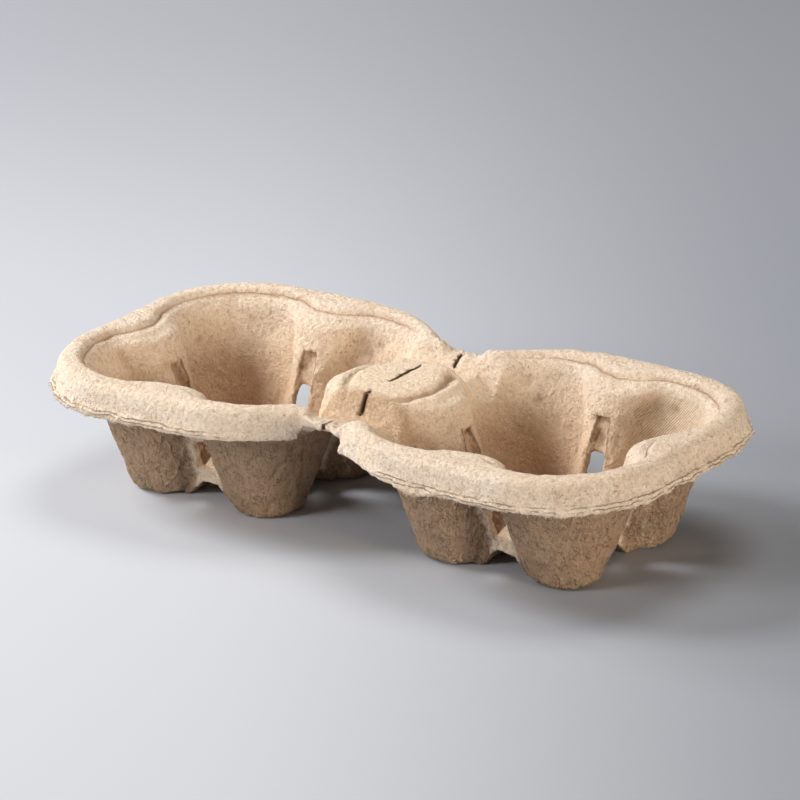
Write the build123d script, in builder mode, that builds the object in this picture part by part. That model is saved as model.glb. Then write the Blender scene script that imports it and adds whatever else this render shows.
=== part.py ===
from build123d import *
import os

# Moulded paper-pulp carrier for two cups, one piece, resting on its eight feet.
# X runs along the two cups, Y across them, +Z up. The origin is on the surface
# that the feet stand on, midway between the two cells. Millimetres.

os.makedirs("parts", exist_ok=True)

# Overall layout
cell_pitch = 107.0  # distance between the two cup centres
rim_top = 42.4  # height of the rim's crest above the table
wall = 2.0  # thickness of the pulp

# Outline of the rim, one cell, measured from the cell's centre to the skirt's top
skirt_reach_end = 50.5  # towards the end of the carrier
skirt_reach_side = 52.0  # towards the front and the back
end_corner_radius = 34.0  # plan radius of the two corners at the end
waist_corner_radius = 44.0  # plan radius of the two corners beside the waist

# Rim, skirt and the trimmed flange below it
flange_underside = 32.5  # height of the flange above the table
flange_width = 2.5  # how far it stands out past the skirt's top
skirt_lean = 1.3  # how much wider the skirt is at its foot
flange_thickness = 2.2
crown_radius = 4.0  # rounding from the skirt to the top of the rim

# Waist between the cells
waist_half_width = 36.5  # half width of the web that joins the cells
waist_web_half_length = 16.0
waist_blend_radius = 4.0  # rounding of the notch in plan
waist_rim_top = 39.0  # the rim dips to this height where it crosses the waist
waist_dip_half_length = 6.0  # half length of the dip's flat floor
waist_dip_top_half_length = 10.0
waist_dip_corner_radius = 3.0
waist_gap_half_width = 9.0  # skirt and flange are trimmed away under the waist
waist_gap_foot_half_width = 11.0
waist_gap_corner_radius = 2.5
valley_floor = 35.5
valley_end = 29.0  # foot of the slope up to the rim
valley_slope = 2.4  # how far that slope leans
valley_flat_half_length = 8.5
valley_half_length = 17.5  # the floor runs down into both cups
chute_end_height = 29.6  # height of the floor there
island_half_length = 15.2  # half length of the raised top between the cups
island_slope = 2.8  # how far its ends lean

# Cup opening in the groove inside the rim: a rounded square, each side pushed in
mouth_half = 43.4
mouth_middle = 38.5
mouth_corner_radius = 26.0
mouth_bulge_radius = 16.0
mouth_blend_radius = 10.0
mouth_flare = 2.0  # how much wider the opening is at the rim's crest
groove_height = 41.0  # the ledge slopes down from the groove to the cup wall
crease_height = 38.6

# Inside of the cup wall at its top, and the outside of the feet on the table
wall_top_half = 40.9
wall_top_middle = 31.4
wall_top_corner_radius = 22.5
wall_top_bulge_radius = 15.0
wall_top_blend_radius = 7.0
foot_half = 28.4
foot_middle = 19.2
foot_corner_radius = 7.5
foot_bulge_radius = 15.0
foot_blend_radius = 6.5
foot_edge_radius = 3.5  # rounding under the feet, on the outside

# Inside of the cup wall higher up, where the lobes stand closest together
lobe_height = 24.0
lobe_corner_radius = 17.0
lobe_bulge_radius = 9.7
lobe_blend_radius = 7.0

# Raised cross between the feet, with a small round seat for the cup
seat_height = 11.5  # top of the cross and of the seat
seat_radius = 12.0
seat_base_radius = 16.0
arch_half_width = 7.8  # half width of the arch between two feet, at the table
arch_top_half_width = 3.0
arch_corner_radius = 2.4
saddle_start = 16.0  # the cross slopes down from here to its cut edge
saddle_end = 23.0
saddle_edge_height = 7.0

# Slot in the middle of each side of the cup wall: blind above, open below
slot_top = 31.0
slot_top_width = 4.2
slot_open_top = 20.5
slot_bottom_width = 6.2
slot_depth = 2.2  # how far the blind part is pushed out
slot_reach = 36.0  # how far from the cell's centre the cut goes

# Tear line across the waist: a row of narrow cuts, each from one y to another
tear_width = 0.9
front_rim_cut = (-waist_half_width - 1.0, -waist_half_width + 4.5)  # opens the edge
island_end_cut = (-18.6, -12.5)
island_cut = (-4.6, 12.8)
back_rim_cut = (29.0, 34.0)

cut_margin = 5.0  # how far a cutting shape runs past what it cuts
hidden_joint = 1.0  # how far below the rim's crest the cup wall ends, inside the rim
same_place = 0.1  # coordinates closer than this are taken as equal
cell_centre = cell_pitch / 2


def lobed_section(height, half, middle, corner_radius, bulge_radius, blend_radius):
    """Rounded square with the middle of each side pushed in, at one height."""
    with BuildSketch(Plane.XY.offset(height)) as section:
        RectangleRounded(2 * half, 2 * half, corner_radius)
        with PolarLocations(middle + bulge_radius, 4):
            Circle(bulge_radius, mode=Mode.SUBTRACT)
        corner_start = half - corner_radius
        shoulders = [
            vertex
            for vertex in section.vertices()
            if min(abs(vertex.X), abs(vertex.Y)) < corner_start - same_place
        ]
        fillet(shoulders, blend_radius)
    return section.sketch


def mouth_section(height, grow):
    """Cup opening at the rim, grown outwards by the given amount."""
    return lobed_section(
        height,
        mouth_half + grow,
        mouth_middle + grow,
        mouth_corner_radius + grow,
        mouth_bulge_radius - grow,
        mouth_blend_radius + grow,
    )


def wall_top_section(height, grow):
    """Top of the cup wall, inside face, grown outwards by the given amount."""
    return lobed_section(
        height,
        wall_top_half + grow,
        wall_top_middle + grow,
        wall_top_corner_radius + grow,
        wall_top_bulge_radius - grow,
        wall_top_blend_radius + grow,
    )


def on_the_wall(height, foot_size, top_size):
    """A size of the wall's inside, which grows evenly from the feet to the top."""
    share = (height - wall) / (crease_height - wall)
    return foot_size + share * (top_size - foot_size)


def wall_middle(height):
    """How far the middle of the wall's inside is from the cell's centre."""
    return on_the_wall(height, foot_middle - wall, wall_top_middle)


def lobe_section(grow):
    """Cup wall where its lobes stand closest together."""
    return lobed_section(
        lobe_height - grow,
        on_the_wall(lobe_height, foot_half - wall, wall_top_half) + grow,
        wall_middle(lobe_height) + grow,
        lobe_corner_radius + grow,
        lobe_bulge_radius - grow,
        lobe_blend_radius + grow,
    )


def foot_section(height, shrink):
    """Outside of the four feet together, shrunk inwards by the given amount."""
    return lobed_section(
        height,
        foot_half - shrink,
        foot_middle - shrink,
        foot_corner_radius - shrink,
        foot_bulge_radius + shrink,
        foot_blend_radius - shrink,
    )


def cup_body(grow):
    """Tapered lobed cup: grow 0 is its hollow, grow = wall is its outside."""
    floor_height = wall - grow
    with BuildPart() as body:
        add(foot_section(floor_height, floor_height))
        add(lobe_section(grow))
        add(wall_top_section(crease_height - grow, grow))
        loft()
        fillet(body.edges().group_by(Axis.Z)[0], foot_edge_radius - floor_height)
    with BuildPart() as ledge:
        add(wall_top_section(crease_height - grow, grow))
        add(mouth_section(groove_height - grow, grow))
        loft()
    with BuildPart() as cup:
        add(body.part)
        add(ledge.part)
        if grow:
            add(mouth_section(groove_height - grow, grow))
            extrude(amount=rim_top - hidden_joint - groove_height + grow)
        else:
            add(mouth_opening())
    return cup.part


def mouth_opening():
    """Space above the groove, wider towards the rim's crest."""
    with BuildPart() as flare:
        add(mouth_section(groove_height, 0))
        add(mouth_section(rim_top, mouth_flare))
        loft()
    with BuildPart() as opening:
        add(flare.part)
        add(mouth_section(rim_top, mouth_flare))
        extrude(amount=cut_margin)
    return opening.part


def arch_section(distance, ceiling, grow):
    """Outline of the arch between two feet, at a distance from the centre."""
    foot_side = arch_half_width + grow
    top_side = arch_top_half_width + grow
    with BuildSketch(Plane.XZ.offset(-distance)) as section:
        with BuildLine():
            Polyline(
                (-foot_side, -cut_margin),
                (foot_side, -cut_margin),
                (foot_side, 0),
                (top_side, ceiling + grow),
                (-top_side, ceiling + grow),
                (-foot_side, 0),
                close=True,
            )
        make_face()
        fillet(section.vertices().group_by(Axis.Y)[-1], arch_corner_radius + grow)
    return section.sketch


def cross_passage(grow):
    """Cross under the cup: grow 0 is the open space, grow = wall adds its skin."""
    ceiling = seat_height - wall
    edge_ceiling = saddle_edge_height - wall
    outward = (0, 1, 0)
    with BuildPart() as saddle:
        add(arch_section(saddle_start, ceiling, grow))
        add(arch_section(saddle_end, edge_ceiling, grow))
        loft()
    with BuildPart() as arm:
        extrude(arch_section(0, ceiling, grow), amount=saddle_start, dir=outward)
        add(saddle.part)
        if not grow:
            opening = arch_section(saddle_end, edge_ceiling, grow)
            extrude(opening, amount=slot_reach - saddle_end, dir=outward)
    hub_bottom = -cut_margin
    hub_height = ceiling + grow
    with BuildPart() as passage:
        with PolarLocations(0, 4):
            add(arm.part)
        Cone(
            seat_base_radius - wall + grow,
            seat_radius - wall + grow,
            hub_height,
            align=(Align.CENTER, Align.CENTER, Align.MIN),
        )
        with Locations((0, 0, hub_bottom)):
            Cylinder(
                seat_base_radius - wall + grow,
                -hub_bottom,
                align=(Align.CENTER, Align.CENTER, Align.MIN),
            )
        if grow:
            split(bisect_by=Plane.XY, keep=Keep.TOP)
    return passage.part


def slot_outline(bottom, top, grow):
    """Outline of a slot between two heights, wider at its foot."""
    lean = (slot_bottom_width - slot_top_width) / (slot_top - seat_height) / 2
    bottom_half_width = slot_top_width / 2 + lean * (slot_top - bottom) + grow
    top_half_width = slot_top_width / 2 + lean * (slot_top - top) + grow
    with BuildSketch(Plane.XZ) as outline:
        with BuildLine():
            Polyline(
                (-bottom_half_width, bottom),
                (bottom_half_width, bottom),
                (top_half_width, top),
                (-top_half_width, top),
                close=True,
            )
        make_face()
    return outline.sketch


def slot_openings():
    """Open lower part of the slots, in the middle of the four sides."""
    outline = slot_outline(seat_height - wall, slot_open_top, 0)
    with BuildPart() as opening:
        extrude(outline, amount=slot_reach, both=True)
    with BuildPart() as openings:
        with PolarLocations(0, 2, angular_range=90, endpoint=True):
            add(opening.part)
    return openings.part


def slot_hoods(grow):
    """Blind upper part of the slots: its hollow, or its outside when grown."""
    bottom = slot_open_top if grow else seat_height
    top = slot_top + grow
    depth = slot_depth + grow
    with BuildPart() as hood:
        extrude(slot_outline(bottom, top, grow), amount=slot_reach, dir=(0, 1, 0))
        with BuildSketch(Plane.YZ):
            with BuildLine():
                Polyline(
                    (seat_radius, bottom),
                    (wall_middle(bottom) + depth, bottom),
                    (wall_middle(top) + depth, top),
                    (seat_radius, top),
                    close=True,
                )
            make_face()
        extrude(amount=slot_bottom_width, both=True, mode=Mode.INTERSECT)
    with BuildPart() as hoods:
        with PolarLocations(0, 4):
            add(hood.part)
    return hoods.part


def rim_outline(height, inset):
    """Outline of the skirt around both cells and the waist, moved inwards."""
    half_length = cell_centre + skirt_reach_end - inset
    half_width = skirt_reach_side - inset
    web_half_width = waist_half_width - max(inset, 0)
    with BuildSketch(Plane.XY.offset(height)) as outline:
        Rectangle(half_length, 2 * half_width, align=(Align.MIN, Align.CENTER))
        corners = outline.vertices().group_by(Axis.X)
        fillet(corners[-1], end_corner_radius - inset)
        corners = outline.vertices().group_by(Axis.X)
        fillet(corners[0], waist_corner_radius - inset)
        mirror(about=Plane.YZ)
        Rectangle(2 * waist_web_half_length, 2 * web_half_width)
        notch = [
            vertex
            for vertex in outline.vertices()
            if abs(abs(vertex.Y) - web_half_width) < same_place
        ]
        fillet(notch, waist_blend_radius + inset)
    return outline.sketch


def valley_cut(grow):
    """Hollow between the island and the rim, which runs down into both cups."""
    rise = rim_top + cut_margin - valley_floor
    fall = valley_floor - chute_end_height
    rim_lean = valley_slope / (waist_rim_top - valley_floor)
    island_lean = island_slope / (rim_top - valley_floor)
    island_foot = island_half_length + island_slope
    with BuildPart() as valley:
        with BuildSketch(Plane.YZ):
            with BuildLine():
                Polyline(
                    (island_foot + island_lean * fall, valley_floor - fall),
                    (valley_end - rim_lean * fall, valley_floor - fall),
                    (valley_end + rim_lean * rise, valley_floor + rise),
                    (island_foot - island_lean * rise, valley_floor + rise),
                    close=True,
                )
            make_face()
            if grow:
                offset(amount=grow, kind=Kind.INTERSECTION)
        extrude(amount=valley_half_length + grow, both=True)
        with BuildSketch(Plane.XZ):
            with BuildLine():
                Polyline(
                    (-valley_half_length, chute_end_height),
                    (-valley_flat_half_length, valley_floor),
                    (valley_flat_half_length, valley_floor),
                    (valley_half_length, chute_end_height),
                    (valley_half_length, valley_floor + rise),
                    (-valley_half_length, valley_floor + rise),
                    close=True,
                )
            make_face()
            if grow:
                offset(amount=grow, kind=Kind.INTERSECTION)
        extrude(amount=skirt_reach_side, both=True, mode=Mode.INTERSECT)
        mirror(about=Plane.XZ)
    return valley.part


def waist_gap():
    """Openings under the waist's edge, where skirt and flange are trimmed away."""
    bottom = flange_underside - cut_margin
    top = waist_rim_top - wall
    inner_end = waist_half_width - wall - same_place
    with BuildPart() as gap:
        with BuildSketch(Plane.XZ.offset(inner_end)) as outline:
            with BuildLine():
                Polyline(
                    (-waist_gap_foot_half_width, bottom),
                    (waist_gap_foot_half_width, bottom),
                    (waist_gap_half_width, top),
                    (-waist_gap_half_width, top),
                    close=True,
                )
            make_face()
            fillet(outline.vertices().group_by(Axis.Y)[-1], waist_gap_corner_radius)
        extrude(amount=skirt_reach_side - inner_end)
        mirror(about=Plane.XZ)
    return gap.part


def waist_dip(grow):
    """Shallow trough that lowers the rim where it crosses the waist."""
    rise = rim_top + cut_margin - waist_rim_top
    lean = (waist_dip_top_half_length - waist_dip_half_length) / (rim_top - waist_rim_top)
    top_half_length = waist_dip_half_length + lean * rise
    with BuildPart() as dip:
        with BuildSketch(Plane.XZ.offset(valley_end)) as outline:
            with BuildLine():
                Polyline(
                    (-waist_dip_half_length, waist_rim_top),
                    (waist_dip_half_length, waist_rim_top),
                    (top_half_length, waist_rim_top + rise),
                    (-top_half_length, waist_rim_top + rise),
                    close=True,
                )
            make_face()
            fillet(outline.vertices().group_by(Axis.Y)[0], waist_dip_corner_radius)
            if grow:
                offset(amount=grow, kind=Kind.INTERSECTION)
        extrude(amount=waist_half_width + cut_margin - valley_end)
        mirror(about=Plane.XZ)
    return dip.part


def crown(inset):
    """Filled shape under the rim's top face, or its underside when inset."""
    bottom = flange_underside - (cut_margin if inset else 0)
    top_height = rim_top - inset
    lean_at_bottom = skirt_lean * (rim_top - bottom) / (rim_top - flange_underside)
    with BuildPart() as top:
        add(rim_outline(bottom, inset - lean_at_bottom))
        add(rim_outline(top_height, inset))
        loft(ruled=True)
        fillet(top.edges().group_by(Axis.Z)[-1], crown_radius - inset)
        add(waist_dip(inset), mode=Mode.SUBTRACT)
    return top.part


def flange():
    """Thin trimmed edge that stands out all round at the foot of the skirt."""
    with BuildPart() as inside:
        add(rim_outline(flange_underside - cut_margin, wall - skirt_lean))
        extrude(amount=flange_thickness + 2 * cut_margin)
    with BuildPart() as ring:
        add(rim_outline(flange_underside, -flange_width))
        extrude(amount=flange_thickness)
        add(inside.part, mode=Mode.SUBTRACT)
    return ring.part


def tear_line():
    """Row of narrow cuts across the waist, where the carrier is torn in two."""
    bottom = flange_underside - cut_margin
    with BuildPart() as cuts:
        for start, end in (front_rim_cut, island_end_cut, island_cut, back_rim_cut):
            with Locations((0, start, bottom)):
                Box(
                    tear_width,
                    end - start,
                    rim_top + cut_margin - bottom,
                    align=(Align.CENTER, Align.MIN, Align.MIN),
                )
    return cuts.part


rim_filled = crown(0)
rim_underside = crown(wall)
valley_underside = valley_cut(wall)
valley = valley_cut(0)
flange_ring = flange()
gap_at_waist = waist_gap()
cup_outside = cup_body(wall)
cup_hollow = cup_body(0)
hood_outsides = slot_hoods(wall)
hood_hollows = slot_hoods(0)
openings = slot_openings()
cross_skin = cross_passage(wall)
cross_space = cross_passage(0)
tear_cut_row = tear_line()

# Space under the rim: it stays clear of the sheet that lines the valleys
with BuildPart() as rim_space:
    add(rim_underside)
    add(valley_underside, mode=Mode.SUBTRACT)

# Sheet that lines the valleys where they run down below the skirt
with BuildPart() as chutes:
    add(valley_underside)
    split(bisect_by=Plane.XY.offset(flange_underside + hidden_joint), keep=Keep.BOTTOM)

# One cell: lobed wall with its slots, and the cross that lifts the cup
with BuildPart() as cell:
    add(cup_outside)
    add(hood_outsides)
    add(cup_hollow, mode=Mode.SUBTRACT)
    add(hood_hollows, mode=Mode.SUBTRACT)
    add(openings, mode=Mode.SUBTRACT)
    add(cross_skin)
    add(cross_space, mode=Mode.SUBTRACT)

with BuildPart() as cup_carrier:
    add(rim_filled)
    add(rim_space.part, mode=Mode.SUBTRACT)
    add(flange_ring)
    add(gap_at_waist, mode=Mode.SUBTRACT)
    add(chutes.part)
    with Locations((-cell_centre, 0, 0), (cell_centre, 0, 0)):
        add(cup_hollow, mode=Mode.SUBTRACT)
        add(cell.part)
    add(valley, mode=Mode.SUBTRACT)
    add(tear_cut_row, mode=Mode.SUBTRACT)

cup_carrier.part.label = "cup_carrier"
export_step(cup_carrier.part, "parts/cup_carrier.step")
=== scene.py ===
# %% [markdown]
# A moulded-pulp cup carrier is one sheet of paper fibre, sucked out of a slurry onto a wire
# mould and dried. The CAD part already has its true form and size, but its surfaces are
# perfectly clean. This lesson turns that clean solid into pulp: soft edges, a torn trimmed
# flange, wrinkled feet, fibres and the marks of the wire.
#
# Everything is in metres, in the CAD part's own frame: X along the two cups, Y across, Z up.

# %% Load the frame
import math

import bpy
import numpy as np
from mathutils import Matrix, Vector


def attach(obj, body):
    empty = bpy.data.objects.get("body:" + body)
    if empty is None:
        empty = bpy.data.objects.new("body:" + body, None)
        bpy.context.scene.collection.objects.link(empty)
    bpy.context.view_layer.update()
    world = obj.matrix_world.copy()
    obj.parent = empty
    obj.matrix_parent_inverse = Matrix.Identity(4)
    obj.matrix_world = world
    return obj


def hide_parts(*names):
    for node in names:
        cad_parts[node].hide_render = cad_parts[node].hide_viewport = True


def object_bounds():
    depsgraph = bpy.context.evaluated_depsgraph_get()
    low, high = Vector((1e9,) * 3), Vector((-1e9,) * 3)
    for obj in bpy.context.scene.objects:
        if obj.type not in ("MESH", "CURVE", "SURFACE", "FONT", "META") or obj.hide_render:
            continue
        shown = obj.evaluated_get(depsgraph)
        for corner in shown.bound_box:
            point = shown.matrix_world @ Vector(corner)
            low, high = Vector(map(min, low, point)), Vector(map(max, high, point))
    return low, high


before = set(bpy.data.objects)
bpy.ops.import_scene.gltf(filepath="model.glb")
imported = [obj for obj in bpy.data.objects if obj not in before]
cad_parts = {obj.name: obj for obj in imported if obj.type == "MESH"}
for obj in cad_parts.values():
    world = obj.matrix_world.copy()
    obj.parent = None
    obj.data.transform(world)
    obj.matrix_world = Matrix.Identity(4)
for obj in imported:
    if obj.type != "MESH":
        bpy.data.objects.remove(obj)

cad_low, cad_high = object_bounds()
print("CAD box, mm:", [round(1000 * v, 1) for v in (*cad_low, *cad_high)])

# %% [markdown]
# All shaping below is worked out in millimetres, because the numbers of a pulp sheet are
# easier to read that way: a wall of 2, a rim 42 high. The frame gives the outer sizes. Other
# sizes of the mould get their names where a step first needs them.

# %% Sizes, in millimetres
MM = 0.001
half_length, half_width, rim_top = (round(v / MM, 1) for v in cad_high)
cell_centre = 53.5  # from the middle of the carrier to the middle of a cup
print("half length, half width and rim top, mm:", half_length, half_width, rim_top)

# %% [markdown]
# Pulp has no straight edges: fibres bridge every corner of the mould. A voxel remesh turns the
# solid into small even quads, on which smoothing and noise work the same everywhere. Its grid
# must be finer than half the wall, or thin walls tear open.

# %% Remesh the solid into even quads
voxel = 0.62 * MM


def apply_modifiers(obj):
    """Bakes the modifiers into the object's mesh."""
    graph = bpy.context.evaluated_depsgraph_get()
    graph.update()
    mesh = bpy.data.meshes.new_from_object(obj.evaluated_get(graph))
    obj.modifiers.clear()
    obj.data = mesh


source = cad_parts["cup_carrier"]
sheet = bpy.data.objects.new("pulp_sheet", source.data.copy())
bpy.context.scene.collection.objects.link(sheet)
grid = sheet.modifiers.new("grid", "REMESH")
grid.mode = "VOXEL"
grid.voxel_size = voxel
apply_modifiers(sheet)
print("even mesh:", len(sheet.data.vertices), "vertices")

# %% [markdown]
# Numpy moves all vertices at once, which is far quicker than a loop over them. These helpers
# read a mesh into arrays, in millimetres, and write the moved points back in metres. The two
# ends of each edge say which vertices are neighbours.

# %% Read the mesh into arrays
def read_vectors(collection, name):
    values = np.empty(len(collection) * 3, np.float32)
    collection.foreach_get(name, values)
    return values.reshape(-1, 3).astype(float)


def write_points(mesh, points):
    mesh.vertices.foreach_set("co", (points * MM).astype(np.float32).ravel())
    mesh.update()


def edge_ends(mesh):
    ends = np.empty(len(mesh.edges) * 2, np.int32)
    mesh.edges.foreach_get("vertices", ends)
    return ends[0::2], ends[1::2]


ends = edge_ends(sheet.data)
points = read_vectors(sheet.data.vertices, "co") / MM
print("read:", len(points), "points and", len(ends[0]), "edges")

# %% [markdown]
# To smooth is to move each vertex towards the mean of its neighbours. Plain rounds shrink the
# sheet, so there are only a few of them. In the rounds after those each pull is followed by a
# push back, which keeps the size.

# %% Soften the edges
plain_rounds, even_rounds = 3, 6
pull, push_back = 0.5, -0.52


def neighbour_mean(values, ends):
    """Mean of each vertex's neighbours, for a column or for rows of three."""
    first, second = ends
    count = len(values)
    share = np.bincount(first, minlength=count) + np.bincount(second, minlength=count)
    columns = values.reshape(count, -1).T
    sums = [
        np.bincount(first, c[second], count) + np.bincount(second, c[first], count)
        for c in columns
    ]
    return (np.array(sums) / np.maximum(share, 1)).T.reshape(values.shape)


def smooth(points, ends, strength):
    """Moves each vertex towards its neighbours' mean; a strength below 0 pushes it away."""
    return points + strength * (neighbour_mean(points, ends) - points)


for _ in range(plain_rounds):
    points = smooth(points, ends, pull)
for _ in range(even_rounds):
    points = smooth(points, ends, pull)
    points = smooth(points, ends, push_back)
write_points(sheet.data, points)
print("edges softened; box now", points.min(0).round(1), points.max(0).round(1))

# %% [markdown]
# The crease under the ledge and the edges of the island between the cups are much rounder in
# the wet sheet than in the solid. Plain smoothing there, more on the island, rounds them off.
# A ramp from 0 to 1 says how much of it a vertex gets, and is used all through this lesson.

# %% Round the crease and the island
crease_height = 38.6  # where the cup wall begins, below the ledge
crease_rounds = 28


def ease(share):
    return share * share * (3 - 2 * share)


def ramp(value, low, high):
    """0 at low, 1 at high, smooth between and flat beyond; low may be above high."""
    return ease(np.clip((value - low) / (high - low), 0, 1))


x, y, z = np.abs(points.T)
by_crease = ramp(np.abs(z - crease_height + 0.6), 3.2, 1.0)
on_island = ramp(x, 19.0, 15.0) * ramp(y, 25.0, 20.0)
by_waist_edge = ramp(x, 20.0, 16.0) * ramp(y, 25.0, 29.0)
softness = 0.5 * by_crease * (0.35 + 0.65 * on_island) * (1 - by_waist_edge)
softness = np.maximum(softness, 0.03 * on_island * ramp(z, 34.0, 36.0))
for _ in range(crease_rounds):
    points = smooth(points, ends, softness[:, None])
write_points(sheet.data, points)
print("rounded vertices:", int((softness > 0.1).sum()))

# %% [markdown]
# Beside the island the sheet folds: a trough at the foot of its step, then a soft ridge along
# the wall of the cup. Each follows a line in plan, and the same lines serve the left side.

# %% Fold the sheet beside the island
trough = ((7.6, -15.0), (11.0, -10.6), (13.4, -5.5), (14.4, -1.0), (14.0, 4.0), (11.0, 12.0))
ridge = ((9.6, -17.6), (14.2, -11.4), (16.8, -3.7), (16.4, 5.8), (13.4, 16.4), (13.4, 24.0))
trough_depth, trough_width = 1.0, 1.5
ridge_height, ridge_width = 0.8, 2.0


def line_distance(points, line):
    """Distance in plan to a chain of straight pieces, with the left side mirrored."""
    spots = np.stack([np.abs(points[:, 0]), points[:, 1]], 1)
    nearest = np.full(len(points), 1e9)
    for start, end in zip(np.array(line[:-1]), np.array(line[1:])):
        along = end - start
        share = np.clip((spots - start) @ along / (along @ along), 0, 1)
        foot = start + share[:, None] * along
        nearest = np.minimum(nearest, np.hypot(*(spots - foot).T))
    return nearest


def mound(distance, width):
    """1 at distance 0, about a third at the width, and soon 0 beyond it."""
    return np.exp(-(distance / width) ** 2)


on_top = ramp(points[:, 2], 35.0, 38.0)
fold = ridge_height * mound(line_distance(points, ridge), ridge_width)
fold = fold - trough_depth * mound(line_distance(points, trough), trough_width)
points[:, 2] += fold * on_top
write_points(sheet.data, points)
print("fold: from", (fold * on_top).min().round(2), "to", (fold * on_top).max().round(2), "mm")

# %% [markdown]
# Noise gives the lumps. A lattice of random numbers, blended smoothly between its nodes, is
# value noise. The lattice is turned, so that its planes don't line up with the sheet's. The
# seed is fixed, so that every run gives the same sheet.

# %% Smooth noise
lattice_side = 64
lattice_shift = 1000.0  # how many cells into the repeating lattice the sheet lies
turn = np.array(Matrix.Rotation(0.7, 3, Vector((1, 2, 3)).normalized()))


def noise(at, size, seed, turned=True):
    """Smooth noise from -1 to 1 at points in millimetres, with lumps of a given size."""
    lattice = np.random.default_rng(seed).uniform(-1, 1, (lattice_side,) * 3)
    at = (at @ turn.T if turned else at) / np.asarray(size, float) + lattice_shift
    cell = np.floor(at).astype(int)
    x, y, z = ease(at - cell).T
    low = cell % lattice_side
    high = (cell + 1) % lattice_side
    total = 0
    for ix, wx in ((low[:, 0], 1 - x), (high[:, 0], x)):
        for iy, wy in ((low[:, 1], 1 - y), (high[:, 1], y)):
            for iz, wz in ((low[:, 2], 1 - z), (high[:, 2], z)):
                total = total + lattice[ix, iy, iz] * wx * wy * wz
    return total


print("lattice:", lattice_side**3, "random numbers")

# %% [markdown]
# Octaves of noise at falling sizes look like lumpy pulp. Thin winding lines, where noise that
# is finer across than along crosses zero, look like its wrinkles.

# %% Lumps and cracks
def lumps(at, size, octaves, seed, fall=0.5):
    """Octaves of noise, each half the size of the last."""
    total, weight = 0, 1.0
    for k in range(octaves):
        total = total + weight * noise(at, size / 2**k, seed + k)
        weight *= fall
    return total


def cracks(at, size, seed, width=0.16):
    """1 along thin winding lines where stretched noise crosses zero, 0 elsewhere."""
    bent = at + 1.2 * np.stack([noise(at, 5.0, seed + 50 + k) for k in range(3)], 1)
    return 1 - ramp(np.abs(noise(bent, size, seed, turned=False)), 0.0, width)


sample = lumps(points, size=3.0, octaves=3, seed=1)
print("lumps: from", sample.min().round(2), "to", sample.max().round(2))

# %% [markdown]
# Masks say where on the sheet a vertex lies, worked out from its place and its normal: on the
# trimmed flange, outside a leg, on the strip beside a slot, or on the inner walls and the
# island. They also keep how far a vertex lies past the skirt's outline.

# %% Regions of the sheet
overhang = 2.5  # of the flange past the skirt
skirt_end = half_length - cell_centre - overhang  # from a cup's middle to the skirt
skirt_side = half_width - overhang
skirt_corner = 34.0
flange_low, flange_high = 32.5, 34.7


class Places:
    """Masks from 0 to 1 for the regions of the sheet, at the given points and normals."""

    def __init__(self, points, normals):
        x, y, z = points.T
        side = np.where(x > 0, 1.0, -1.0)
        self.from_cell = np.stack([x - side * cell_centre, y], 1)
        reach = np.hypot(*self.from_cell.T)
        self.outward = (normals[:, :2] * self.from_cell).sum(1) / np.maximum(reach, 1)
        past_end = np.abs(x) - cell_centre - skirt_end
        dx = np.maximum(past_end + skirt_corner, 0)
        dy = np.maximum(np.abs(y) - skirt_side + skirt_corner, 0)
        self.past_skirt = np.maximum(np.hypot(dx, dy) - skirt_corner, past_end)
        self.flange = (
            ramp(z, flange_high + 1.2, flange_high)
            * ramp(z, flange_low - 1.2, flange_low - 0.4)
            * ramp(self.past_skirt, -2.4, -0.6)
        )
        beside_slot = ramp(np.abs(self.from_cell).min(1), 5.6, 3.4)
        below_flange = ramp(z, 33.0, 31.0)
        self.leg_outside = ramp(self.outward, 0.0, 0.35) * below_flange * (1 - beside_slot)
        self.strip = ramp(self.outward, -0.3, 0.1) * below_flange * beside_slot
        island = ramp(np.abs(x), 24.0, 18.0) * ramp(np.abs(y), 33.0, 26.0) * ramp(z, 28.0, 30.0)
        walls = ramp(self.outward, 0.3, -0.1) * ramp(z, crease_height + 2, crease_height - 5)
        self.inside = np.maximum(island, walls)


normals = read_vectors(sheet.data.vertices, "normal")
place = Places(points, normals)
print("flange vertices:", int(place.flange.sum()), " leg outsides:", int(place.leg_outside.sum()))

# %% [markdown]
# The sheet's free edges, at the slots, the arches, the feet and the waist, are found without
# knowing where they are: a vertex on such an edge stands out from its neighbours.

# %% Find the free edges
def stand_out(points, normals, ends):
    """Millimetres by which each vertex stands above its neighbours; below 0 in a hollow."""
    height = ((points - neighbour_mean(points, ends)) * normals).sum(1)
    for _ in range(2):
        height = neighbour_mean(height, ends)
    return height


free_edge = ramp(stand_out(points, normals, ends), 0.035, 0.085)
print("free edge vertices:", int(free_edge.sum()))

# %% [markdown]
# Where the press closes on the rim it leaves a shallow groove with a low lip beside it. It
# follows the mouth, which in plan has a side with round corners, a bulge that pushes in at
# its middle, and an arc that blends the two. The distance from that outline says where a
# vertex lies across the groove.

# %% Press the groove inside the rim
mouth_half, mouth_corner = 43.4, 26.0  # from a cup's middle
bulge_centre, bulge_radius, bulge_end = 54.5, 16.0, 9.35
blend_radius, blend_end = 10.0, 15.19
blend_centre = (mouth_half - blend_radius, blend_end)
groove_low = rim_top - 2.8
groove_depth, groove_width = 0.7, 0.9
lip_height, lip_width, lip_inwards = 0.4, 1.0, 2.2


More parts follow.
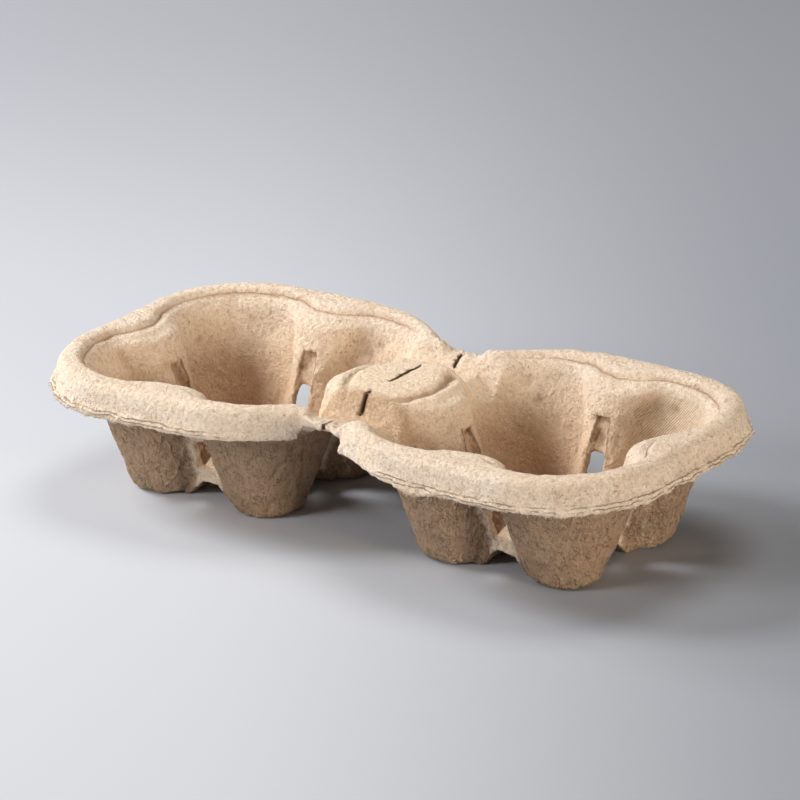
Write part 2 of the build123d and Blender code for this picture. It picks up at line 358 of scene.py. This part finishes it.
def past_mouth(points):
    """Distance outwards from the outline of the mouth, in plan."""
    from_centre = np.abs(np.abs(points[:, 0]) - cell_centre)
    across = np.abs(points[:, 1])
    far, near = np.maximum(from_centre, across), np.minimum(from_centre, across)
    corner = mouth_half - mouth_corner
    past_bulge = bulge_radius - np.hypot(far - bulge_centre, near)
    past_blend = np.hypot(far - blend_centre[0], near - blend_centre[1]) - blend_radius
    past_corner = np.hypot(np.maximum(far - corner, 0), np.maximum(near - corner, 0))
    past_side = np.where(near > blend_end, past_corner - mouth_corner, past_blend)
    return np.where(near < bulge_end, past_bulge, past_side)


ring = past_mouth(points) + 0.5 * noise(points, size=9.0, seed=45)
on_rim = ramp(points[:, 2], groove_low - 0.6, groove_low + 0.4) * ramp(np.abs(points[:, 0]), 15, 24)
dip = groove_depth * mound(ring, groove_width) - lip_height * mound(ring + lip_inwards, lip_width)
dip = dip * (0.75 + 0.5 * noise(points, size=17.0, seed=46))
points = points - normals * (dip * on_rim)[:, None]
write_points(sheet.data, points)
print("groove: deepest", round(float((dip * on_rim).max()), 2), "mm")

# %% [markdown]
# The sheet is lumpy all over. On the outside of the legs the wet sheet slid off the mould,
# which left larger lumps and upright wrinkles. The cut edges of the slots and of the waist
# wander, and all free edges are ragged.

# %% Lumps and wrinkles
bulk = lumps(points, size=14.0, octaves=3, seed=11) * 0.26
bulk = bulk + lumps(points, size=3.2, octaves=3, seed=21, fall=0.8) * 0.14
leg_lumps = lumps(points, size=4.2, octaves=3, seed=31) * 0.30
wrinkles = cracks(points, size=(2.4, 2.4, 9.0), seed=41)
wrinkles = wrinkles * (0.5 + 0.5 * noise(points, size=9.0, seed=42))
ragged = lumps(points, size=2.6, octaves=3, seed=51, fall=0.7) * 0.30
x, y, z = points.T
near, far = np.sort(np.abs(place.from_cell), axis=1).T
by_slot = ramp(near, 7.5, 5.0) * ramp(far, 19.0, 21.0) * ramp(z, 34.0, 32.0)
by_waist = ramp(np.abs(x), 15.0, 12.0) * ramp(np.abs(y), 28.0, 31.0)
wobble = [lumps(points, size=3.4, octaves=3, seed=55 + 3 * k, fall=0.6) for k in range(3)]
points = points + np.stack(wobble, 1) * (0.45 * np.maximum(by_slot, by_waist))[:, None]
move = bulk + place.leg_outside * (leg_lumps - 0.8 * np.maximum(wrinkles, 0))
move = move + free_edge * ragged
points = points + normals * move[:, None]
write_points(sheet.data, points)
print("lumps: mean move", round(float(np.abs(move).mean()), 3), "mm")

# %% [markdown]
# The flange is where the wet sheet was torn off around the mould. Its edge runs in and out and
# up and down, on four sizes of lumps at once, and finer still along its underside.

# %% Tear the flange
normals = read_vectors(sheet.data.vertices, "normal")
place = Places(points, normals)
flat = points * np.array([1, 1, 0.3])
in_out = lumps(flat, size=6.0, octaves=4, seed=61, fall=0.65) * 0.55
up_down = lumps(flat, size=7.0, octaves=4, seed=71, fall=0.6) * 0.42
outward = place.from_cell / np.maximum(np.hypot(*place.from_cell.T), 1)[:, None]
tear = place.flange * ramp(place.past_skirt, 0.0, 1.2)
points[:, :2] += outward * (tear * in_out)[:, None]
points[:, 2] += tear * up_down
low_edge = tear * ramp(points[:, 2], 33.8, 33.0)
points[:, 2] += low_edge * lumps(points, size=1.8, octaves=2, seed=77, fall=0.8) * 0.42
write_points(sheet.data, points)
print("torn edge: box now", points.min(0).round(1), points.max(0).round(1))

# %% [markdown]
# A few marks belong to this one carrier: torn tongues at the corners of the waist, a flap that
# hangs from the front, and dents in the back walls of the wells. Each is a soft push on a
# round patch, given by its middle, its radius and the way it goes.

# %% Push the single marks
tongues = (
    ((10.0, -38.0, 35.0), 8.0, (-2.1, -2.4, -0.4)),
    ((7.0, -40.0, 33.6), 2.2, (-1.8, -0.9, -0.3)),
    ((-11.0, -37.0, 36.0), 5.0, (0.9, -0.9, -0.6)),
    ((-12.0, 37.0, 35.0), 7.0, (1.0, 1.2, -0.5)),
)
flap = ((44.0, -54.0, 33.0), 6.0, (0.0, -0.5, -1.5))
dents = ((-34.0, 38.7, 33.3), (-36.9, 38.0, 30.6), (-85.3, 32.4, 31.2), (72.7, 39.0, 34.0))
slanting_dents = ((26.8, 35.1, 29.3), (22.7, 34.9, 34.3), (-90.5, 21.5, 29.6))
pushes = [*tongues, flap]
pushes += [(spot, 1.9, (0.1, 0.75, -0.3)) for spot in dents]
pushes += [(spot, 1.6, (-0.4, 0.5, -0.2)) for spot in slanting_dents]
for centre, radius, way in pushes:
    distance = np.linalg.norm(points - np.array(centre), axis=1)
    points = points + mound(distance, radius)[:, None] * np.array(way)
write_points(sheet.data, points)
print("single marks:", len(pushes))

# %% [markdown]
# Between the cups the sheet is slit, so that the carrier can be torn in two. The slits wander
# a little and close to a point at both ends.

# %% Outlines of the tear slits
slit_spans = (  # along Y: from, to and width
    (-43.0, -32.0, 1.0),
    (-18.6, -12.5, 1.2),
    (-4.6, 12.8, 0.75),
    (29.0, 34.0, 1.1),
)
slit_steps = 14


def slit_outline(start, end, width, seed):
    """Round the slit in plan: along one wavy side and back along the other."""
    along = np.linspace(start, end, slit_steps)
    middle = 0.45 * noise(np.stack([0 * along, along, 0 * along], 1), 3.0, seed)
    half = 0.5 * width * np.sqrt(1.04 - np.linspace(-1, 1, slit_steps) ** 2)
    there = np.stack([middle + half, along], 1)
    back = np.stack([middle - half, along], 1)[::-1]
    return np.concatenate([there, back])


outlines = [slit_outline(*span, seed) for seed, span in enumerate(slit_spans, start=81)]
print("slits:", len(outlines), "with", len(outlines[0]), "corners each")

# %% [markdown]
# A slit that only a dark line showed would let no light through. So each outline becomes an
# upright solid that reaches from below the bridge to above the rim, and a boolean takes these
# out of the sheet.

# %% Cut the tear slits
slit_low, slit_high = 27.0, 46.0
corners, faces = [], []
for outline in outlines:
    first, count = len(corners), len(outline)
    corners += [(*spot, slit_low) for spot in outline]
    corners += [(*spot, slit_high) for spot in outline]
    faces.append(tuple(range(first + count - 1, first - 1, -1)))
    faces.append(tuple(range(first + count, first + 2 * count)))
    for k in range(count):
        after = (k + 1) % count
        faces.append((first + k, first + after, first + count + after, first + count + k))
slits = bpy.data.objects.new("slits", bpy.data.meshes.new("slits"))
slits.data.from_pydata((np.array(corners) * MM).tolist(), [], faces)
bpy.context.scene.collection.objects.link(slits)
before = len(sheet.data.vertices)
cut = sheet.modifiers.new("cut", "BOOLEAN")
cut.operation = "DIFFERENCE"
cut.solver = "MANIFOLD"
cut.object = slits
apply_modifiers(sheet)
bpy.data.objects.remove(slits)
print("slits: vertices", before, "to", len(sheet.data.vertices))

# %% [markdown]
# The fine grid was needed to shape the sheet, but not to show it: smooth parts hold far more
# quads than their form needs. Thinning drops those first and keeps the wrinkles and edges.

# %% Thin out the mesh
most_triangles = 194000
quads = len(sheet.data.polygons)
thin = sheet.modifiers.new("thin", "DECIMATE")
thin.ratio = most_triangles / (2 * quads)
apply_modifiers(sheet)
sheet.data.shade_smooth()
sheet.data.calc_loop_triangles()
print("thinned to", len(sheet.data.loop_triangles), "triangles")

# %% [markdown]
# The material needs to know hollows from ridges, because it paints shade into cracks, and one
# region from another, because the outside of the legs is browner than the inner walls, partly
# the sheet's own colour and partly painted shade, and the slit walls get painted shade. Each is
# stored as one number per vertex, which the material reads as an attribute.

# %% Store hollows and regions on the mesh
full_hollow = 0.12  # how deep a vertex lies when it counts as all hollow
ends = edge_ends(sheet.data)
points = read_vectors(sheet.data.vertices, "co") / MM
normals = read_vectors(sheet.data.vertices, "normal")
place = Places(points, normals)
hollow = -stand_out(points, normals, ends)
# The trough beside the island gets painted shade, stored with the hollows.
trough_shade = mound(line_distance(points, trough), trough_width) * ramp(points[:, 2], 37.0, 39.0)
masks = {
    "hollow": np.clip(hollow / full_hollow + 0.9 * trough_shade, -1, 1),
    "outside": place.leg_outside,
    "torn": place.flange,
    "inside": place.inside,
    "strip": place.strip,
    # The slit walls are painted nearly black: painted shade in the narrow cuts.
    "slit": ramp(np.abs(normals[:, 0]), 0.45, 0.75) * ramp(np.abs(points[:, 0]), 1.9, 1.5),
}
for name, values in masks.items():
    layer = sheet.data.attributes.new(name, "FLOAT", "POINT")
    layer.data.foreach_set("value", values.astype(np.float32))
print("hollow from", round(float(hollow.min()), 2), "to", round(float(hollow.max()), 2), "mm")

# %% [markdown]
# Along the torn flange and the other free edges single fibres and slivers stand out. Each is a
# thin bent spike with a three-sided root inside the sheet.

# %% Fibres on the torn edges
chance = np.random.default_rng(7)
fibre_count = 800
fibre_length, fibre_thickness = (0.3, 0.95), (0.07, 0.15)
root_depth = 0.25  # as a share of the length
edge_score = ramp(place.past_skirt, 0.6, 1.6) * ramp(points[:, 2], 34.2, 33.4)
edge_score = edge_score * place.flange + 0.12 * ramp(stand_out(points, normals, ends), 0.06, 0.12)
roots = chance.choice(len(points), fibre_count, p=edge_score / edge_score.sum())
way = normals[roots] + chance.normal(0, 0.75, (fibre_count, 3))
way /= np.linalg.norm(way, axis=1)[:, None]
reach = chance.uniform(*fibre_length, fibre_count)[:, None]
thick = chance.uniform(*fibre_thickness, fibre_count)[:, None]
across = np.cross(way, chance.normal(0, 1, (fibre_count, 3)))
across /= np.linalg.norm(across, axis=1)[:, None]
upright = np.cross(way, across)
rings = []
for share, width in ((-root_depth, 1.0), (0.55, 0.75)):
    middle_at = points[roots] + way * reach * share
    for turn_by in (0, 2 * math.pi / 3, 4 * math.pi / 3):
        around = across * math.cos(turn_by) + upright * math.sin(turn_by)
        rings.append(middle_at + around * thick * width)
tips = points[roots] + (way + across * chance.uniform(-0.5, 0.5, (fibre_count, 1))) * reach
spots = np.stack([*rings, tips], 1).reshape(-1, 3)
spike = ((2, 1, 0), (0, 1, 4, 3), (1, 2, 5, 4), (2, 0, 3, 5), (3, 4, 6), (4, 5, 6), (5, 3, 6))
spikes = [tuple(7 * k + corner for corner in face) for k in range(fibre_count) for face in spike]
fringe = bpy.data.objects.new("fibres", bpy.data.meshes.new("fibres"))
fringe.data.from_pydata((spots * MM).tolist(), [], spikes)
bpy.context.scene.collection.objects.link(fringe)
print("fibres:", fibre_count, "with", len(spikes), "faces")

# %% [markdown]
# Shader maths is easier to read as Python. This class wraps a socket, so that a + b * 2 adds
# the Math nodes for it, and 1 - a works as well.

# %% Socket arithmetic
class Value:
    """A socket that can be used in sums and products like a number."""

    def __init__(self, tree, socket):
        self.tree, self.socket = tree, socket

    def math(self, operation, *others):
        sockets = dict(enumerate((self, *others)))
        return self.tree.node("Math", {"operation": operation}, sockets)

    def __add__(self, other):
        return self.math("ADD", other)

    def __sub__(self, other):
        return self.math("SUBTRACT", other)

    def __rsub__(self, other):
        return self.tree.number(other).math("SUBTRACT", self)

    def __mul__(self, other):
        return self.math("MULTIPLY", other)

    def __pow__(self, other):
        return self.math("POWER", other)

    def __abs__(self):
        return self.math("ABSOLUTE")

    __radd__, __rmul__ = __add__, __mul__

    def between(self, low, high):
        """0 at low, 1 at high, smooth between and flat beyond."""
        sockets = {"Value": self, "From Min": low, "From Max": high}
        settings = {"interpolation_type": "SMOOTHSTEP"}
        return self.tree.node("MapRange", settings, sockets, "Result")


print("a socket can now be added, subtracted, multiplied and raised to a power")

# %% [markdown]
# A second class holds a material. Its node method adds any kind of node, from its type, its
# settings and what its sockets get: a number, a colour or a link. A few methods on top of it
# add what this material uses again and again.

# %% Nodes of a material
class Paint:
    """A material's nodes."""

    def __init__(self, name):
        self.material = bpy.data.materials.new(name)
        self.material.use_nodes = True
        self.nodes = self.material.node_tree.nodes
        self.links = self.material.node_tree.links
        self.shader = self.nodes["Principled BSDF"]

    def node(self, kind, settings=None, sockets=None, output=0):
        """Adds a node: its kind, its settings, its sockets' values or links."""
        node = self.nodes.new("ShaderNode" + kind)
        for name, value in (settings or {}).items():
            setattr(node, name, value)
        for name, value in (sockets or {}).items():
            self.plug(node.inputs[name], value)
        return Value(self, node.outputs[output])

    def plug(self, socket, value):
        if isinstance(value, Value):
            self.links.new(value.socket, socket)
        else:
            socket.default_value = value

    def number(self, value):
        holder = self.node("Value")
        holder.socket.default_value = value
        return holder

    def mix(self, share, first, second):
        """Colour between two colours."""
        settings = {"data_type": "RGBA"}
        return self.node("Mix", settings, {0: share, 6: first, 7: second}, 2)

    def grain(self, at, size, detail=2.0, rough=0.5, bend=0.0):
        """Noise from 0 to 1 with lumps of a size in millimetres."""
        sockets = {
            "Vector": at, "Scale": 1 / size, "Detail": detail,
            "Roughness": rough, "Distortion": bend,
        }
        return self.node("TexNoise", None, sockets)

    def stretched(self, at, turned, factors):
        """Place turned about an axis, then stretched."""
        settings = {"rotation_type": "EULER_XYZ"}
        turned_at = self.node("VectorRotate", settings, {"Vector": at, "Rotation": turned})
        return self.node("VectorMath", {"operation": "MULTIPLY"}, {0: turned_at, 1: factors})


pulp = Paint("pulp")
print("material", pulp.material.name, "starts with", len(pulp.nodes), "nodes")

# %% [markdown]
# The material starts with where it is: the place in millimetres, and the numbers that were
# stored on the mesh. The fibres carry none of those, so there they all read as 0.

# %% Places and regions for the material
at = pulp.node("TexCoord", None, None, "Object")
at = pulp.node("VectorMath", {"operation": "SCALE"}, {0: at, "Scale": 1 / MM})
x_at, y_at, z_at = (pulp.node("SeparateXYZ", None, {"Vector": at}, axis) for axis in "XYZ")
hollow_shade, outside, torn, inside, strip, slit = (
    pulp.node("Attribute", {"attribute_name": name}, None, "Fac") for name in masks
)
print("regions:", list(masks))

# %% [markdown]
# The finest relief, fibres and grain well below half a millimetre, would need millions of
# vertices, so the material makes it. First the fields that both colour and relief use: clouds,
# grain, fibres in three directions, pits, and the slanted weave that the wire cloth leaves.
# The weave is strongest on the right well's back wall and faint in patches elsewhere.

# %% Fine fields of the pulp
clouds = pulp.grain(at, size=9.0, detail=3.0)
mottle = pulp.grain(at, size=2.4, detail=3.0, rough=0.65)
middling = pulp.grain(at, size=1.5, rough=0.6)
fine = pulp.grain(at, size=0.9, detail=4.0, rough=0.75)
tiny = pulp.grain(at, size=0.5, rough=0.6)
fibre_turns = ((0.3, 0.2, 0.5), (1.2, 0.4, 2.1), (0.5, 1.3, 1.1))
fibre_stretch = (0.16, 1.0, 1.0)
fibres = [
    pulp.grain(pulp.stretched(at, turned, fibre_stretch), size=0.5, rough=0.6, bend=0.6)
    for turned in fibre_turns
]
fibre_mat = fibres[0].math("MAXIMUM", fibres[1]).math("MAXIMUM", fibres[2])
pit_patch = pulp.grain(at, size=12.0, detail=1.0).between(0.44, 0.62)
pits = pulp.grain(at, size=0.9, detail=1.0).between(0.64, 0.72) * pit_patch
weave_pitch = 0.66
weave_along, weave_up = 0.78, -0.63  # the way the weave's lines are counted
weave = ((x_at * weave_along + z_at * weave_up) * (2 * math.pi / weave_pitch)).math("SINE")
weave_end = x_at.between(58.0, 64.0) * x_at.between(92.0, 84.0) * y_at.between(8.0, 16.0) * 1.5
weave_patch = pulp.grain(at, size=16.0, detail=1.0).between(0.5, 0.64) * 0.3
weave_patch = (weave_patch + weave_end) * inside
print("fine fields:", len(pulp.nodes), "nodes")

# %% [markdown]
# Then the thin lines. A line is where some field crosses a value: the distance from that value,
# taken from wide to narrow, is 1 on the line and 0 beside it. Two creases run along the torn
# flange, upright cracks down the outsides of the legs, and short marks lie in patches all over.
# Each dents the relief, and the colour paints shade into it.

# %% Creases, cracks and marks
upper_crease, lower_crease = 34.9, 33.9
wave = pulp.grain(at, size=7.0, detail=3.0) - 0.5
rough = fine - 0.5
patchy = pulp.grain(at, size=5.0).between(0.38, 0.55)
high_line = abs(z_at - upper_crease - wave * 0.9 - rough * 0.9).between(0.19, 0.04)
low_line = abs(z_at - lower_crease - wave * 2.0 - rough * 1.2).between(0.18, 0.04)
creases = (high_line * (patchy * 0.8 + 0.2)).math("MAXIMUM", low_line * patchy) * torn
crack_at = pulp.stretched(at, turned=(0, 0, 0), factors=(1.0, 1.0, 0.22))
crack_field = pulp.grain(crack_at, size=2.0, detail=3.0, rough=0.6, bend=0.25)
leg_cracks = abs(crack_field - 0.5).between(0.018, 0.004) * outside * (patchy * 0.8 + 0.2)
mark_field = pulp.grain(at, size=1.2, rough=0.6, bend=0.8)
mark_patch = pulp.grain(at, size=1.3, detail=1.0).between(0.58, 0.68)
marks = abs(mark_field - 0.5).between(0.02, 0.006) * mark_patch
print("with creases, cracks and marks:", len(pulp.nodes), "nodes")

# %% [markdown]
# The groove inside the rim was pressed into the mesh already. Painted shade marks it: a thin
# darker line in its bottom and a softer band beside it, so the outline of the mouth is worked out
# once more, now with nodes. By symmetry one eighth of it is enough. The cut edges of the slots
# get painted shade too, along a line that leans with the slot's side.

# %% The line in the groove and the edges of the slots
slot_low, slot_high = 20.5, 31.0
slot_reach = 21.0  # from a cup's middle to where its slots begin
slot_half_top, slot_lean = 2.1, 0.095


def length(first, second):
    return (first * first + second * second) ** 0.5


corner_centre = mouth_half - mouth_corner
from_centre = abs(abs(x_at) - cell_centre)
far = from_centre.math("MAXIMUM", abs(y_at))
near = from_centre.math("MINIMUM", abs(y_at))
past_bulge = bulge_radius - length(far - bulge_centre, near)
past_blend = length(far - blend_centre[0], near - blend_centre[1]) - blend_radius
past_corner = length(
    (far - corner_centre).math("MAXIMUM", 0), (near - corner_centre).math("MAXIMUM", 0)
) - mouth_corner
in_bulge = near.math("LESS_THAN", bulge_end)
in_side = near.math("GREATER_THAN", blend_end)
in_blend = 1 - in_bulge - in_side
past_groove = past_bulge * in_bulge + past_blend * in_blend + past_corner * in_side
on_rim_top = z_at.between(groove_low, groove_low + 0.6) * abs(x_at).between(16.0, 30.0)
# Painted shade: a thin line in the groove's bottom and a wider soft band over it.
groove = abs(past_groove + wave * 0.6 + rough * 0.3).between(0.30, 0.05) * on_rim_top
groove_shade = abs(past_groove + wave * 0.6).between(1.3, 0.1) * on_rim_top
slot_half = (slot_high - z_at) * slot_lean + slot_half_top
# Painted shade along the cut edges of the slots, where the slot's side lies in shadow.
slot_edge_shade = abs(near - slot_half - wave * 0.8 - rough * 0.9).between(0.6, 0.2)
slot_edge_shade = slot_edge_shade * far.between(slot_reach, slot_reach + 1) * far.between(40.0, 38.0)
slot_edge_shade = slot_edge_shade * z_at.between(slot_low - 2, slot_low) * z_at.between(slot_high + 1, slot_high)
print("with groove and slots:", len(pulp.nodes), "nodes")

# %% [markdown]
# Pulp's colour is not one colour. It is mottled in clouds. Down the inner walls it is painted
# warmer and browner with depth, as painted shade and painted bounced light, and paler on the
# patch where the weave is strongest, as painted light. Outside the legs it is brown, partly the
# sheet's own colour and partly painted shade, and the strips beside the slots are painted paler,
# as painted light. These large parts of the colour come first, each as a mix of what is there
# with the next tint.

# %% Colour by region
pale = (0.94, 0.81, 0.67, 1)
middle = (0.87, 0.715, 0.56, 1)
brown = (0.56, 0.37, 0.23, 1)
dark = (0.18, 0.10, 0.055, 1)
inside_pale = (0.97, 0.79, 0.595, 1)
inside_shade_brown = (0.80, 0.545, 0.35, 1)
leg_brown_and_shade = (0.40, 0.26, 0.158, 1)
# Browner deeper down the inner walls: painted shade and painted bounced light. The weave's patch is
# painted paler, as painted light.
depth_shade = z_at.between(38.0, 15.0)
inside_share = depth_shade + (clouds - 0.5) * 0.8 + (mottle - 0.5) * 0.9 - weave_end * 0.25
inside_colour = pulp.mix(inside_share, inside_pale, inside_shade_brown)
colour = pulp.mix(clouds.between(0.3, 0.7), middle, pale)
colour = pulp.mix(inside * 0.9, colour, inside_colour)
colour = pulp.mix(tiny.between(0.52, 0.66) * 0.35, colour, pale)
# Brown outside the legs: partly the sheet's own colour and partly painted shade under the rim.
colour = pulp.mix(outside * 0.88, colour, leg_brown_and_shade)
# The strips beside the slots are painted paler and warmer: painted light that they catch.
colour = pulp.mix(strip * 0.8, colour, inside_pale)
print("with regions:", len(pulp.nodes), "nodes")

# %% [markdown]
# Then the small parts. One sum of the fields is the relief, which the bump uses too, and the
# colour paints shade into what is low in it: the low grain, the low relief and the lows of the
# weave. The front face of the island is coarser than the rest and gets painted shade. Each line
# of the two lists says what is browner or darker, and by how much.

# %% Colour by grain, lines and specks
specks = pulp.grain(at, size=0.9, detail=1.0).between(0.74, 0.78)
relief = (
    fine * 0.7 + middling * 0.9 + mottle * 0.7 + fibre_mat * 0.4 + weave * weave_patch * 0.10
    + (crack_field - 0.5) * outside * 0.9
    - pits * 0.3 - marks * 0.3 - creases * 0.7 - leg_cracks * 0.6 - groove * 0.4
)
# Painted shade in the lows of the weave and of the grain.
weave_shade = weave.between(0.3, -0.5) * weave_patch * 0.6
grain_shade = (middling * 0.35 + fine * 0.65).between(0.60, 0.40)
# Painted shade on the steep front face of the island, heavier in its low grain.
face = y_at.between(-12.5, -15.5) * abs(x_at).between(21.0, 15.0) * y_at.between(-27.0, -22.0)
face_low_shade = fine.between(0.64, 0.44) * face
# Painted shade: the low grain and relief, the island's face, the pits, marks, groove, weave lows,
# hollows and slot edges. The tiny grain is the pulp's own tone.
browner = (
    (grain_shade * (1 - inside * 0.4), 0.38),
    (face, 0.4),
    (face_low_shade, 0.7),
    (relief.between(1.35, 1.05), 0.4),
    (tiny.between(0.5, 0.36), 0.2),
    (pits, 0.4),
    (marks, 0.3),
    (groove, 0.5),
    (groove_shade, 0.4),
    (weave_shade, 0.4),
    (hollow_shade.between(0.12, 0.9), 0.6),
    (slot_edge_shade, 0.6),
)
# Painted shade: the low grain outside the legs, the hollows, creases, cracks, slot edges and, nearly
# black, the slit walls. The specks are the pulp's own tone.
darker = (
    (grain_shade * outside, 0.3),
    (hollow_shade.between(0.3, 1.2), 0.3),
    (specks, 0.3),
    (creases, 0.42),
    (leg_cracks, 0.5),
    (slot_edge_shade, 0.45),
    (slit, 0.97),
)
for tint, lines in ((brown, browner), (dark, darker)):
    for line, share in lines:
        colour = pulp.mix(line * share, colour, tint)
print("with lines:", len(pulp.nodes), "nodes")

# %% [markdown]
# Dry pulp is as matt as paper gets: rough, with hardly any shine. The sheet takes the place of
# the clean solid, and the fibres ride along in the same material.

# %% Finish the material and dress the part
relief_height = 1.0 * MM
bump = pulp.node("Bump", None, {"Strength": 1.0, "Distance": relief_height, "Height": relief})
pulp.plug(pulp.shader.inputs["Base Color"], colour)
pulp.plug(pulp.shader.inputs["Roughness"], 0.93)
pulp.plug(pulp.shader.inputs["Specular IOR Level"], 0.25)
pulp.plug(pulp.shader.inputs["Normal"], bump)

sheet.data.materials.clear()
sheet.data.materials.append(pulp.material)
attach(sheet, "root")
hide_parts("cup_carrier")
fringe.data.materials.append(pulp.material)
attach(fringe, "root")
print("pulp:", len(pulp.nodes), "nodes in all")

# %% [markdown]
# The camera stands where the photographer's did: far off with a long lens, so that the cups are
# almost in parallel view, 36 degrees round from the front towards the right end, and 20 degrees
# up. The Standard view shows the colours as they are lit.

# %% Camera
view_azimuth = 36.13
view_elevation = 20.33
view_roll = -1.39
view_distance = 2.036
view_aim = Vector((-0.0061, 0.0097, 0.0308))
azimuth, elevation = math.radians(view_azimuth), math.radians(view_elevation)
towards_camera = Vector((
    math.sin(azimuth) * math.cos(elevation),
    -math.cos(azimuth) * math.cos(elevation),
    math.sin(elevation),
))
camera = bpy.data.objects.new("camera", bpy.data.cameras.new("camera"))
bpy.context.scene.collection.objects.link(camera)
camera.data.lens = 308.42
camera.data.sensor_width = 36
camera.data.clip_start = 0.1
camera.data.clip_end = 50
turned = (-towards_camera).to_track_quat("-Z", "Y").to_matrix().to_4x4()
camera.matrix_world = (
    Matrix.Translation(view_aim + towards_camera * view_distance)
    @ turned
    @ Matrix.Rotation(math.radians(view_roll), 4, "Z")
)
bpy.context.scene.camera = camera
bpy.context.scene.view_settings.view_transform = "Standard"
print("camera at", camera.location[:])

# %% [markdown]
# The floor is a grey sweep whose colour paints the fall of the light: pale at the left, where the
# lamps stand, mid grey at the right, and a little darker towards the back. How far a spot lies
# along the picture's own left-right and near-far ways is a dot product with each.

# %% Floor
# Painted light: the floor is paler near the lamps at the left and dimmer away from them.
left_lit_pale = (0.535, 0.555, 0.60, 1)
right_dim_grey = (0.268, 0.288, 0.333, 1)
back_dim_grey = (0.315, 0.33, 0.375, 1)
pale_end, grey_start = -0.07, 0.16  # metres from the middle towards the picture's right
back_near, back_far = 0.05, 0.5  # metres from the middle away from the camera
bpy.ops.mesh.primitive_plane_add(size=12)
floor = bpy.context.object
floor.name = "floor"
floor_paint = Paint("floor_paint")
floor_at = floor_paint.node("TexCoord", None, None, "Object")


def distance_along(way):
    """Metres from the middle of the floor along a way."""
    sockets = {0: floor_at, 1: way}
    return floor_paint.node("VectorMath", {"operation": "DOT_PRODUCT"}, sockets, "Value")


across = distance_along(Vector((math.cos(azimuth), math.sin(azimuth), 0)))
beyond = distance_along(Vector((-math.sin(azimuth), math.cos(azimuth), 0)))
floor_colour = floor_paint.mix(across.between(pale_end, grey_start), left_lit_pale, right_dim_grey)
floor_colour = floor_paint.mix(beyond.between(back_near, back_far) * 0.65, floor_colour, back_dim_grey)
floor_paint.plug(floor_paint.shader.inputs["Base Color"], floor_colour)
floor_paint.plug(floor_paint.shader.inputs["Roughness"], 0.75)
floor.data.materials.append(floor_paint.material)
print("floor:", len(floor_paint.nodes), "nodes")

# %% [markdown]
# Two soft lamps stand at the left and one at the front. A low warm lamp lights the right end
# and the walls that face it, and a wide one high above fills the tops and the back. The room
# adds a little warm light from everywhere.

# %% Lamps
lamp_distance = 1.1
warm, slightly_warm = (1.0, 0.88, 0.74), (1.0, 0.96, 0.90)
room_tint, room_light = (1.0, 0.94, 0.87, 1), 0.13


def soft_lamp(name, azimuth, elevation, size, power, tint=(1, 1, 1)):
    """A round lamp that looks at the part; azimuth from +X towards +Y, in degrees."""
    around, up = math.radians(azimuth), math.radians(elevation)
    way = Vector((math.cos(around) * math.cos(up), math.sin(around) * math.cos(up), math.sin(up)))
    lamp = bpy.data.objects.new(name, bpy.data.lights.new(name, "AREA"))
    lamp.data.shape = "DISK"
    lamp.data.size = size
    lamp.data.energy = power
    lamp.data.color = tint
    lamp.location = view_aim + way * lamp_distance
    lamp.rotation_euler = way.to_track_quat("Z", "Y").to_euler()
    bpy.context.scene.collection.objects.link(lamp)


soft_lamp("key", azimuth=200, elevation=40, size=0.40, power=8.3)
soft_lamp("left", azimuth=180, elevation=25, size=0.35, power=4.1)
soft_lamp("front", azimuth=243, elevation=27, size=0.40, power=5.6)
soft_lamp("right", azimuth=350, elevation=8, size=0.30, power=7.2, tint=warm)
soft_lamp("back", azimuth=90, elevation=72, size=0.60, power=4.1, tint=slightly_warm)
world = bpy.data.worlds.new("room")
bpy.context.scene.world = world
world.use_nodes = True
world.node_tree.nodes["Background"].inputs["Color"].default_value = room_tint
world.node_tree.nodes["Background"].inputs["Strength"].default_value = room_light
